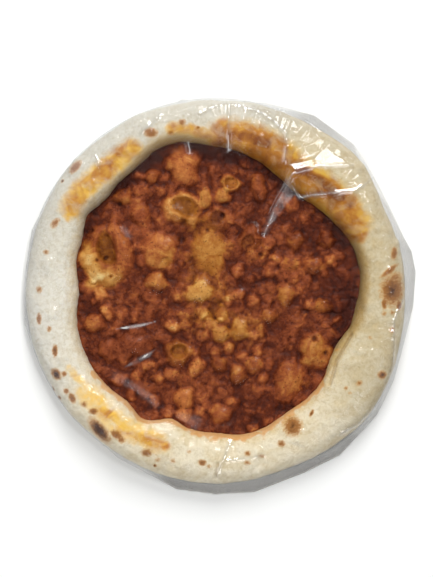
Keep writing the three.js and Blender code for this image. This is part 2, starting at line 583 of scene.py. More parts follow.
def mottle_group() -> bpy.types.NodeTree:
    """The shared mottle: noise whose patches have a size in mm, built once."""
    name = "mottle"
    if name in bpy.data.node_groups:
        return bpy.data.node_groups[name]
    tree = bpy.data.node_groups.new(name, "ShaderNodeTree")
    sheet = NodeSheet(tree)
    defaults = {"Size": 5.0, "Detail": 3.0, "Warp": 0.0, "Shift": 0.0}
    for label, value in defaults.items():
        tree.interface.new_socket(label, in_out="INPUT", socket_type="NodeSocketFloat").default_value = value
    tree.interface.new_socket("Value", in_out="OUTPUT", socket_type="NodeSocketFloat")
    ask = sheet.add("NodeGroupInput").outputs
    scale = sheet.math("DIVIDE", 1 / MM, ask["Size"])
    moved = sheet.add("ShaderNodeVectorMath", {0: sheet.place(), "Scale": scale}, operation="SCALE")
    moved = sheet.add("ShaderNodeVectorMath", {0: moved.outputs[0], 1: ask["Shift"]}, operation="ADD")
    inputs = {"Vector": moved.outputs[0], "Scale": 1.0, "Detail": ask["Detail"], "Distortion": ask["Warp"]}
    value = sheet.add("ShaderNodeTexNoise", inputs).outputs["Fac"]
    sheet.add("NodeGroupOutput", {"Value": value})
    return tree


def new_material(name: str) -> tuple[bpy.types.Material, NodeSheet]:
    """Starts a material and its sheet of nodes."""
    material = bpy.data.materials.new(name)
    material.use_nodes = True
    return material, NodeSheet(material.node_tree)


@dataclass(frozen=True)
class CrustFinish:
    """Floury par-baked crust: cream, with golden stains and small dark bake spots."""

    cream: str = "D9CBAC"
    pale: str = "E2D8C0"
    # Painted film sheen: a pale grey laid on the crust towards the left and along the top, where the film's
    # reflection lies.
    cool: str = "D6D4CC"
    warm: str = "C6A55C"
    stains: Tones = ((0.0, "E6B84C"), (0.45, "BA7824"), (1.0, "7E3C10"))
    bleed: str = "CC8A3E"
    fold: str = "A08660"
    halo: str = "BC883E"
    bake: str = "8A521A"
    char: str = "452818"
    crisp: str = "A8743A"
    # Painted shade on the rim's inner slope next to the sauce, on the far side.
    shade: str = "9A8058"
    # Painted shade: the crust is dimmed towards the right and the top.
    dusk: str = "E2DFD6"
    speckle: Tones = ((0.32, "E2DACB"), (0.5, "F9F7F3"), (0.62, "FFFFFF"))
    dust: Tones = ((0.32, "E6E1D8"), (0.5, "FAF9F6"), (0.6, "FFFFFF"))

    def material(self) -> bpy.types.Material:
        """Builds the crust's material."""
        material, sheet = new_material("crust")
        flecks = sheet.mottle(2.6, 5, 0.8, 3.1)
        grain = sheet.mottle(1.1, 3, 0.3, 7.7)
        colour = self._floury(sheet, flecks, grain)
        colour = self._stained(sheet, colour)
        colour = self._browned(sheet, colour)
        height = sheet.plus(sheet.times(flecks, 0.6), sheet.times(grain, 0.2))
        inputs = {
            "Base Color": colour,
            "Roughness": 0.7,
            "Normal": sheet.bump(height, 0.7, 0.0008),
            "Specular IOR Level": 0.05,
            "Subsurface Weight": 0.08,
            "Subsurface Radius": (0.006, 0.004, 0.002),
            "Subsurface Scale": 0.4,
        }
        sheet.end("ShaderNodeBsdfPrincipled", inputs)
        return material

    def _floury(self, sheet: NodeSheet, flecks: object, grain: object) -> object:
        """The bare crust: cream in patches, greyed by a painted film sheen towards the left and the top,
        warmer by place, speckled, and baked below.

        Args:
            sheet: The material's sheet.
            flecks: Noise of the coarse speckles.
            grain: Noise of the flour.

        Returns:
            The colour's output socket.
        """
        patches = sheet.ramp(sheet.mottle(14, 5, 0.8), 0.36, 0.62)
        colour = sheet.blend(patches, srgb(self.cream), srgb(self.pale))
        # Painted film sheen greys the crust towards the left and the top.
        colour = sheet.coat(colour, self.cool, sheet.mask("cool"), 0.8)
        colour = sheet.coat(colour, self.warm, self._broken(sheet, "warm", 5.0, 0.3, 0.1, 0.9), 0.8)
        colour = sheet.blend(0.6, colour, sheet.tones(flecks, self.speckle), "MULTIPLY")
        colour = sheet.blend(0.4, colour, sheet.tones(grain, self.dust), "MULTIPLY")
        toast = sheet.ramp(sheet.mottle(20, 4, 0.4, 4.4), 0.36, 0.7)
        return sheet.coat(colour, self.crisp, sheet.times(toast, sheet.mask("below")), 0.75)

    def _stained(self, sheet: NodeSheet, colour: object) -> object:
        """Adds the golden stains, the brown folds, painted shade by the sauce on the far side and towards
        the right and the top, and the sauce's own edge.

        Args:
            sheet: The material's sheet.
            colour: The colour so far.

        Returns:
            The new colour's output socket.
        """
        thin = sheet.ramp(sheet.mottle(8, 4, 0.8, 6.2), 0.34, 0.56)
        smear = self._broken(sheet, "stain", 7.0, 0.45, 0.05, 0.85)
        smear = sheet.times(smear, sheet.plus(sheet.times(thin, 0.25), 0.75))
        depth = sheet.plus(sheet.mask("deep"), sheet.times(sheet.wander(13, 4, 0.8, 1.9), 1.8), clamp=True)
        colour = sheet.blend(sheet.times(smear, 0.95), colour, sheet.tones(depth, self.stains))
        colour = sheet.coat(colour, self.fold, self._broken(sheet, "fold", 3.0, 0.35, 0.25, 1.0), 0.6)
        # Painted shade on the far side's inner slope by the sauce.
        colour = sheet.coat(colour, self.shade, sheet.mask("shade"), 0.6, "MULTIPLY")
        # Painted shade: dims the crust towards the right and the top.
        colour = sheet.coat(colour, self.dusk, sheet.mask("dusk"), how="MULTIPLY")
        return sheet.coat(colour, self.bleed, self._broken(sheet, "bleed", 5.0, 0.6, 0.2, 0.9), 0.65)

    def _browned(self, sheet: NodeSheet, colour: object) -> object:
        """Adds the bake spots: a golden halo, a brown middle and a burnt core.

        Args:
            sheet: The material's sheet.
            colour: The colour so far.

        Returns:
            The new colour's output socket.
        """
        colour = sheet.coat(colour, self.halo, self._broken(sheet, "bake", 1.6, 0.3, 0.02, 0.4), 0.6)
        colour = sheet.coat(colour, self.bake, self._broken(sheet, "bake", 1.6, 0.35, 0.22, 0.6), 0.85)
        return sheet.coat(colour, self.char, self._broken(sheet, "char", 2.0, 0.4, 0.35, 0.95))

    def _broken(
        self, sheet: NodeSheet, name: str, size: float, rough: float, low: float, high: float
    ) -> object:
        """A mask whose soft edge is broken up by noise.

        Args:
            sheet: The material's sheet.
            name: The mesh attribute.
            size: Width of the noise's patches, in mm.
            rough: How strongly the noise moves the edge.
            low: Where the edge starts.
            high: Where it is full.

        Returns:
            The mask's output socket.
        """
        moved = sheet.plus(sheet.mask(name), sheet.times(sheet.wander(size, 4, 0.5, size), 2 * rough))
        kept = sheet.times(moved, sheet.ramp(sheet.mask(name), 0.0, 0.15))
        return sheet.ramp(kept, low, high)


@dataclass(frozen=True)
class SauceFinish:
    """Baked tomato sauce: dark red-brown, with orange and yellow blisters and a little oil."""

    reds: Tones = (
        (0.0, "34140D"), (0.25, "582512"), (0.5, "8A4626"), (0.75, "B66E38"), (1.0, "D09A5C"),
    )
    yellows: Tones = (
        (0.0, "3C1C0C"), (0.25, "66360F"), (0.5, "975C20"), (0.75, "C08A46"), (1.0, "E4C686"),
    )
    pore: str = "3A140A"

    def material(self) -> bpy.types.Material:
        """Builds the sauce's material."""
        material, sheet = new_material("sauce")
        swirls = sheet.wander(9, 5, 1.6)
        curds = sheet.wander(2.4, 4, 1.0, 4.2)
        grit = sheet.wander(0.9, 3, 0.4, 8.4)
        rough = sheet.plus(sheet.times(swirls, 0.55), sheet.times(curds, 0.3))
        rough = sheet.plus(rough, sheet.times(grit, 0.2))
        calm = sheet.math("SUBTRACT", 1.1, sheet.times(sheet.mask("yellow"), 0.6), clamp=True)
        tone = sheet.plus(sheet.mask("tone"), sheet.times(rough, calm))
        hue = sheet.ramp(sheet.plus(sheet.mask("yellow"), sheet.times(swirls, 0.9)), 0.15, 1.0)
        colour = sheet.blend(hue, sheet.tones(tone, self.reds), sheet.tones(tone, self.yellows))
        colour = sheet.coat(colour, self.pore, sheet.ramp(sheet.mottle(1.5, 2, 0.3, 5.5), 0.38, 0.31), 0.6)
        height = sheet.plus(curds, sheet.times(grit, 0.5))
        inputs = {
            "Base Color": colour,
            "Roughness": 0.4,
            "Normal": sheet.bump(height, 0.45, 0.0008),
            "Specular IOR Level": 0.07,
        }
        sheet.end("ShaderNodeBsdfPrincipled", inputs)
        return material


@dataclass(frozen=True)
class FilmFinish:
    """Thin clear packing film: crinkled and glossy; grey where spare film lies in layers, partly a painted
    shadow under it; a painted pale sheen at the bread's edge; white creases that are partly painted glints.
    """

    # Grey of spare film: partly the layered film's own tint, partly a painted shadow under it.
    haze: str = "8F8C88"
    # Painted sheen: a pale diffuse tint for the film's reflection at the bread's outer edge.
    painted_sheen_tint: str = "D5D8DC"
    # White of the creases: partly the film's own milky folds, partly painted glints.
    crease: str = "F6F2E8"
    full_shine: float = 0.12
    roughness: float = 0.09
    pane_bearing: float = 62.0
    pane_slope: float = 0.12

    def material(self) -> bpy.types.Material:
        """Builds the film's material."""
        material, sheet = new_material("film")
        height = sheet.plus(sheet.mottle(9, 3, 1.4), sheet.times(sheet.mottle(2.5, 2, 1.0, 2.2), 0.12))
        height = sheet.times(height, sheet.plus(sheet.mask("crinkled"), 0.03))
        facing = sheet.bump(height, 0.6, 0.0015, Normal=self._facing(sheet))
        edge_on = sheet.add("ShaderNodeLayerWeight", {"Blend": 0.5, "Normal": facing}).outputs["Facing"]
        grazing = sheet.times(sheet.math("POWER", edge_on, 3.5), 0.3)
        shine = sheet.plus(grazing, sheet.times(sheet.mask("glint"), self.full_shine), clamp=True)
        clear = sheet.add("ShaderNodeBsdfTransparent", {"Color": (1, 1, 1, 1)})
        # Spare film is grey, partly its own layered tint and partly a painted shadow; elsewhere the tint is
        # the painted edge sheen.
        tint = sheet.blend(sheet.mask("spare"), srgb(self.painted_sheen_tint), srgb(self.haze))
        # Creases turn white: partly milky film, partly painted glints.
        tint = sheet.coat(tint, self.crease, sheet.mask("creased"))
        haze = sheet.add("ShaderNodeBsdfDiffuse", {"Color": tint, "Normal": facing})
        cloud = sheet.plus(sheet.times(sheet.mask("spare"), 0.5), sheet.times(sheet.mask("veiled"), 0.15))
        cloud = sheet.math("MAXIMUM", cloud, sheet.times(sheet.mask("creased"), 0.8))
        body = sheet.add("ShaderNodeMixShader", {0: cloud, 1: clear.outputs[0], 2: haze.outputs[0]})
        gloss_in = {"Color": (1, 1, 1, 1), "Roughness": self.roughness, "Normal": facing}
        gloss = sheet.add("ShaderNodeBsdfGlossy", gloss_in)
        sheet.end("ShaderNodeMixShader", {0: shine, 1: body.outputs[0], 2: gloss.outputs[0]})
        return material

    def _facing(self, sheet: NodeSheet) -> object:
        """The way the film faces: its own over most of it, and one lean for all of a stretched pane."""
        bearing, slope = math.radians(self.pane_bearing), self.pane_slope
        lean = Vector((slope * math.cos(bearing), slope * math.sin(bearing), 1.0)).normalized()
        settings = {"vector_type": "NORMAL", "convert_from": "OBJECT", "convert_to": "WORLD"}
        turned = sheet.add("ShaderNodeVectorTransform", {0: lean}, **settings)
        own = sheet.add("ShaderNodeNewGeometry").outputs["Normal"]
        inputs = {0: sheet.mask("pane"), 4: own, 5: turned.outputs[0]}
        mixed = sheet.add("ShaderNodeMix", inputs, data_type="VECTOR")
        return sheet.add("ShaderNodeVectorMath", {0: mixed.outputs[1]}, operation="NORMALIZE").outputs[0]


@dataclass(frozen=True)
class FloorFinish:
    """A plain pale floor."""

    colour: str = "F4F4F2"

    def material(self) -> bpy.types.Material:
        """Builds the floor's material."""
        material, sheet = new_material("floor")
        sheet.end("ShaderNodeBsdfPrincipled", {"Base Color": srgb(self.colour), "Roughness": 0.9})
        return material


# ---- The bread ----


@dataclass(frozen=True)
class BakeSpot(Oval):
    """A browned or burnt spot on the rim, usually the top of a small bubble."""

    burnt: float


@dataclass(frozen=True)
class Smear:
    """A golden stain along the rim, where oil and sauce have run."""

    path: Path
    half_width: float
    strength: float
    depth: float = 0.0


@dataclass
class Bread:
    """The bread: a flat underside, a thick uneven rim, and the floor of the well under the sauce."""

    plan: Plan
    finish: CrustFinish = field(default_factory=CrustFinish)
    segments: int = 180
    rim_rings: int = 20
    rounding: int = 2
    underside: float = 0.8
    foot_in: float = 8.0
    well_floor: float = 5.5
    relief: tuple[Relief, ...] = rows(Relief, (30, 0.9, 2), (11, 0.405, 2, 3.0), (3.6, 0.16, 3, 5.0))
    pleat_height: float = 0.4
    pleat_size: float = 5.0
    spot_height: float = 0.35
    crack_depth: float = 1.6
    crack_width: float = 0.9
    lip_height: float = 0.6
    lip_offset: float = 2.8
    lip_width: float = 1.5
    film_room: float = 0.6
    highest: float = 24.4
    bubble_count: int = 170
    bubble_sizes: tuple[float, float] = (2.0, 6.0)
    bubble_slope: float = 0.14
    seed: int = 4127
    spots: tuple[BakeSpot, ...] = rows(
        BakeSpot,
        (-47.4, 115.4, 3.7, 2.6, 0, 0.35), (-32.6, 115.4, 2.2, 1.5, 0, 0.1),
        (-24.4, 122.8, 2.2, 1.8, 20, 0.2), (-102.9, 90.3, 4.4, 2.2, 50, 0.25),
        (-117.7, 48.8, 3.3, 2.0, 50, 0.15), (-124.3, 27.4, 1.8, 1.5, 0, 0.1),
        (-129.5, 0.0, 1.8, 2.2, 0, 0.1), (-129.5, -21.5, 1.4, 3.0, 0, 0.25),
        (-122.1, -28.9, 1.4, 1.8, 0, 0.1), (-117.7, -45.1, 1.5, 3.4, 0, 0.45),
        (-116.9, -62.2, 2.4, 3.4, 35, 0.95), (-111.0, -62.2, 1.6, 1.6, 0, 0.2),
        (-109.5, -74.7, 1.5, 1.5, 0, 0.3), (-105.1, -79.9, 1.8, 2.8, 25, 0.4),
        (-96.2, -84.4, 1.8, 1.8, 0, 0.15), (-89.5, -89.5, 2.4, 1.8, 0, 0.35),
        (-85.1, -103.6, 8.2, 3.4, -50, 1.0), (-72.5, -106.6, 3.2, 2.2, -30, 0.3),
        (-68.8, -110.3, 2.2, 2.0, 0, 0.2), (-50.3, -119.9, 3.2, 2.2, 0, 0.2),
        (-42.2, -125.1, 2.0, 1.6, 0, 0.0), (-31.1, -125.8, 2.0, 1.6, 0, 0.0),
        (-9.6, -127.3, 2.2, 1.8, 0, 0.3), (-4.4, -130.2, 1.4, 1.2, 0, 0.0),
        (-19.2, -119.1, 1.5, 1.2, 0, 0.0), (23.7, -120.6, 1.9, 1.7, 0, 0.15),
        (23.7, -127.3, 2.0, 1.4, 0, 0.1), (34.0, -122.8, 2.2, 1.3, 0, 0.0),
        (48.8, -113.2, 2.3, 1.9, 0, 0.2), (57.0, -100.6, 5.0, 5.3, 0, 0.4),
        (71.0, -91.0, 0.9, 2.2, -25, 0.6), (96.2, -72.5, 1.3, 1.1, 0, 0.1), (99.2, -76.2, 1.2, 1.0, 0, 0.0),
        (105.8, -68.8, 2.0, 1.5, 30, 0.1), (122.8, -62.9, 2.4, 2.3, 0, 0.6),
        (131.7, 26.6, 3.4, 1.8, 80, 0.25), (128.0, 13.7, 5.6, 1.5, 38, 0.3),
        (130.2, -0.7, 6.2, 8.2, 0, 0.6), (132.5, 8.5, 4.6, 3.2, 10, 0.1), (124.3, -10.4, 1.5, 3.0, 0, 0.3),
        (135.4, -11.8, 1.5, 2.8, 0, 0.35), (124.3, -17.8, 1.5, 1.5, 0, 0.1),
        (130.2, -17.0, 1.6, 1.6, 0, 0.0), (130.2, -29.6, 1.5, 1.9, 0, 0.15),
        (114.0, -35.5, 1.5, 1.2, 0, 0.0), (-112.5, 79.9, 0.9, 0.9, 0, 1.0),
        (-12.6, 119.1, 0.9, 0.8, 0, 0.5), (-119.9, -73.3, 0.9, 1.6, 30, 1.0),
        (-114.7, -79.9, 0.9, 1.2, 30, 0.8), (-44.4, -129.5, 0.9, 0.9, 0, 0.8),
    )
    smears: tuple[Smear, ...] = rows(
        Smear,
        (((-106.0, 60.0), (-100.5, 70.5), (-88.0, 81.4), (-76.5, 92.0), (-62.0, 103.0)), 8.5, 0.85, 0.25),
        (((-98.0, 76.0), (-87.0, 86.0), (-72.0, 98.0)), 4.0, 1.0, 0.4),
        (((-108.8, 54.0), (-103.0, 62.0)), 4.5, 0.6, 0.2),
        (((-32.6, 119.0), (-18.5, 118.0), (-2.0, 113.0)), 4.5, 0.7, 0.35),
        (((8.0, 112.0), (22.0, 110.0), (36.0, 104.0), (50.0, 94.0)), 13.0, 1.3, 0.62),
        (((12.0, 113.0), (26.0, 112.0), (38.0, 107.0)), 5.0, 1.3, 0.95),
        (((56.0, 88.0), (66.0, 82.0), (80.0, 72.0), (92.0, 61.0), (101.0, 48.0)), 12.5, 1.2, 0.55),
        (((62.0, 88.0), (78.0, 80.0), (92.0, 68.0)), 4.5, 1.3, 0.9),
        (((101.0, 50.0), (106.0, 38.0)), 5.0, 0.7, 0.3),
        (((-107.3, -57.7), (-97.5, -69.0), (-88.6, -81.6), (-77.5, -93.7)), 3.2, 0.5, 0.05),
        (((-82.0, -88.0), (-62.9, -104.3), (-51.0, -111.0), (-37.0, -114.7)), 4.2, 0.8, 0.2),
        (((-90.0, -86.0), (-72.0, -99.0), (-52.0, -105.0), (-40.0, -108.0)), 3.4, 0.6, 0.08),
        (((-95.0, -76.0), (-72.0, -98.0), (-44.0, -112.0)), 9.0, 0.6, 0.02),
    )
    cracks: tuple[Path, ...] = (
        ((99.9, -33.3), (88.8, -52.5), (84.4, -69.6)),
        ((0.7, -138.4), (2.0, -128.0)),
    )

    def build(self) -> bpy.types.Object:
        """Models the bread, works its surface and dresses it."""
        piece = self._model()
        self._fit(piece)
        self._work_surface(piece)
        self._mark(piece)
        hand_over(piece, self.finish.material(), Slot.CRUST, self.plan)
        return piece

    def _arch(self) -> list[tuple[float, float]]:
        """Radius and level along the rim, from its widest line over the top to the sauce's edge, in mm."""
        plan = self.plan
        power = 2 / plan.rim_fullness
        foot = plan.sauce_level - plan.film_clearance
        points = []
        for i in range(self.rim_rings + 1):
            share = i / self.rim_rings
            across = math.cos(math.pi * share)
            across = math.copysign(abs(across) ** power, across)
            arch = max(0.0, math.sin(math.pi * share)) ** power
            low = plan.girth_level + (foot - plan.girth_level) * share
            radius = plan.well_radius + (plan.bread_radius - plan.well_radius) * (1 + across) / 2
            points.append((radius, low + (plan.rim_height - plan.film_clearance - low) * arch))
        return points

    def _model(self) -> bpy.types.Object:
        """Models the bread by hand: a disc, drawn out ring by ring, up the side, over the rim and in."""
        plan = self.plan
        start = (40.0, self.underside)
        foot = plan.bread_radius - self.foot_in
        swell = plan.girth_level - self.underside
        side = [
            (foot + self.foot_in * math.sin(turn), self.underside + swell * (1 - math.cos(turn)))
            for turn in (math.pi / 6, math.pi / 3)
        ]
        under = [(radius, self.underside) for radius in (80.0, 112.0, foot)]
        inside = [(radius, self.well_floor) for radius in (plan.well_radius - 2, 90.0, 50.0, 12.0)]
        clear_selection()
        bpy.ops.mesh.primitive_circle_add(vertices=self.segments, radius=start[0] * MM, fill_type="TRIFAN")
        piece = bpy.context.object
        piece.name = piece.data.name = "bread"
        with modelling():
            bpy.ops.mesh.select_all(action="SELECT")
            bpy.ops.transform.translate(value=(0, 0, start[1] * MM))
            bpy.ops.mesh.select_all(action="DESELECT")
            bpy.ops.mesh.select_non_manifold()
            draw_out_rings([*under, *side, *self._arch(), *inside], *start)
            bpy.ops.mesh.merge(type="CENTER")
        apply_subdivision(piece, self.rounding)
        return piece

    def _fit(self, piece: bpy.types.Object) -> None:
        """Stretches the round bread to the plan's uneven outline, well and rim."""
        plan = self.plan
        points = read_points(piece)
        reach, bearing = polar(points[:, :2])
        well, bread = plan.well(bearing), plan.bread(bearing)
        share = (reach - plan.well_radius) / (plan.bread_radius - plan.well_radius)
        inner = reach * well / plan.well_radius
        outer = well + share * (bread - well)
        fitted = np.where(share < 0, inner, outer)
        scale = fitted / np.maximum(reach, 1e-6)
        top = plan.rim_height - plan.film_clearance
        lift = smoothstep(plan.girth_level, top, points[:, 2]) * (plan.rim(bearing) - top)
        points[:, 0] *= scale
        points[:, 1] *= scale
        points[:, 2] += lift
        write_points(piece, points)

    def _work_surface(self, piece: bpy.types.Object) -> None:
        """Raises lumps, pleats and bubbles, opens the cracks, and keeps it all under the film."""
        points = read_points(piece)
        plan_points = points[:, :2]
        reach, bearing = polar(plan_points)
        relief = sum(layer.rise(points) for layer in self.relief)
        along = on_floor(np.column_stack((0.6 * bearing, reach)))
        pleated = smoothstep(0.1, -0.5, np.cos(np.radians(bearing)))
        relief += self.pleat_height * pleated * soft_noise(along, self.pleat_size, 2, 6.0)
        for x, y, radius in self._bubbles():
            away = np.hypot(plan_points[:, 0] - x, plan_points[:, 1] - y) / radius
            relief += self.bubble_slope * radius * np.clip(1 - away**2, 0, 1) ** 1.5
        for spot in self.spots:
            relief += self.spot_height * bell(spot.reach(plan_points), 1.3) * min(spot.length, 4) / 3
        for path in self.cracks:
            away = path_distance(plan_points, path)
            relief -= self.crack_depth * bell(away, self.crack_width)
            relief += self.lip_height * bell(away - self.lip_offset, self.lip_width)
        seen = smoothstep(self.underside, 6.0, points[:, 2])
        points += read_normals(piece) * (relief * seen)[:, None]
        reach, bearing = polar(points[:, :2])
        kept_in = np.minimum(1, (self.plan.bag(bearing) - self.film_room) / np.maximum(reach, 1e-6))
        points[:, :2] *= kept_in[:, None]
        points[:, 2] = np.minimum(points[:, 2], self.highest)
        write_points(piece, points)

    def _bubbles(self) -> Iterator[Spot]:
        """Draws the rim's small bubbles: place and radius, in mm."""
        draw = np.random.default_rng(self.seed)
        for _ in range(self.bubble_count):
            bearing = draw.uniform(0, 2 * math.pi)
            reach = draw.uniform(self.plan.well_radius + 6, self.plan.bread_radius)
            yield reach * math.cos(bearing), reach * math.sin(bearing), draw.uniform(*self.bubble_sizes)

    def _mark(self, piece: bpy.types.Object) -> None:
        """Marks where the crust is browned, burnt, stained, cracked or warm, where shade is painted, and
        where a painted film sheen greys it.
        """
        points = read_points(piece)
        plan_points, level = points[:, :2], points[:, 2]
        x, y = plan_points.T
        reach, bearing = polar(plan_points)
        shore = reach - self.plan.well(bearing)
        bake, char, stain, deep, fold = np.zeros((5, len(points)))
        for spot in self.spots:
            away = spot.reach(plan_points)
            bake = np.maximum(bake, (1 - away / 1.9) * (0.45 + 0.55 * min(1.0, spot.burnt / 0.3)))
            char = np.maximum(char, (1 - away / 1.7) * (0.35 + 0.85 * spot.burnt) * (spot.burnt > 0))
        for smear in self.smears:
            share = smoothstep(1.6, 0.3, path_distance(plan_points, smear.path) / smear.half_width)
            stain = np.maximum(stain, smear.strength * share)
            deep = np.maximum(deep, smear.depth * share)
        for path in self.cracks:
            fold = np.maximum(fold, bell(path_distance(plan_points, path), 1.0))
        top = smoothstep(3, 10, level)
        below = smoothstep(5, 1.5, level)
        above = 1 - below
        near_side = smoothstep(-20, -85, y)
        to_left = smoothstep(-30, -90, x)
        to_right = x + 0.35 * y
        uneven = 5.0 * soft_noise(points, 7, 2, 1.5)
        bleed = smoothstep(0.0, 1.0, (-2.0 + 9.0 * near_side + uneven - shore) / 5)
        warm = smoothstep(14, 2, shore) * (0.8 - 0.35 * near_side) * (1 - 0.45 * to_left)
        # Painted film sheen: greyer towards the left and along the top of the rim.
        painted_sheen_top = 0.9 * smoothstep(100, 122, y) * smoothstep(75, 40, x)
        write_masks(
            piece,
            bake=bake * top,
            char=char * top,
            stain=stain * top,
            deep=deep * top,
            bleed=bleed * smoothstep(22.5, 15, level) * above,
            warm=np.maximum(warm, 0.25 * smoothstep(30, 110, to_right)) * above,
            cool=np.maximum(smoothstep(-10, -125, x - 0.5 * y), painted_sheen_top),
            fold=fold,
            below=below,
            # Painted shade on the far inner slope, next to the sauce.
            shade=smoothstep(9, 0, shore) * self.plan.far_side(bearing) * above,
            # Painted shade, darker towards the right and the top.
            dusk=np.maximum(smoothstep(20, 100, to_right), 0.5 * smoothstep(40, 120, y - 0.5 * x)) * above,
        )


# ---- The sauce ----


@dataclass(frozen=True)
class Blister(Oval):
    """A blister of the sauce: a dome with a round shoulder and an uneven foot."""

    height: float
    tone: float
    yellow: float

    def reach(self, plan_points: Array) -> Array:
        """Distance from its middle, 1 at its uneven foot."""
        bearing = np.arctan2(plan_points[:, 1] - self.y, plan_points[:, 0] - self.x)
        uneven = 1 + 0.07 * np.sin(3 * bearing + self.x) + 0.05 * np.sin(5 * bearing + self.y)
        return super().reach(plan_points) * uneven


@dataclass(frozen=True)
class Hollow(Oval):
    """A hollow in a blister that has burst or sagged."""

    depth: float
    tone: float = -0.12
    yellow: float = 0.1


@dataclass(frozen=True)
class Zone(Oval):
    """A wide patch of the sauce that is lighter, darker, redder or yellower than the rest; some darker ones
    are painted shade along the well's far edge.
    """

    tone: float
    yellow: float


@dataclass
class SauceSurface:
    """Height in mm, tone and yellowness of the sauce at each point, as they are built up."""

    height: Array
    tone: Array
    yellow: Array

    def add(self, share: Array, height: float, tone: float, yellow: float) -> None:
        """Adds a feature.

        Args:
            share: 1 where it is in full, 0 where it doesn't reach.
            height: What it adds to the height, in mm.
            tone: What it adds to the tone.
            yellow: What it adds to the yellowness.
        """
        self.height += height * share
        self.tone += tone * share
        self.yellow += yellow * share


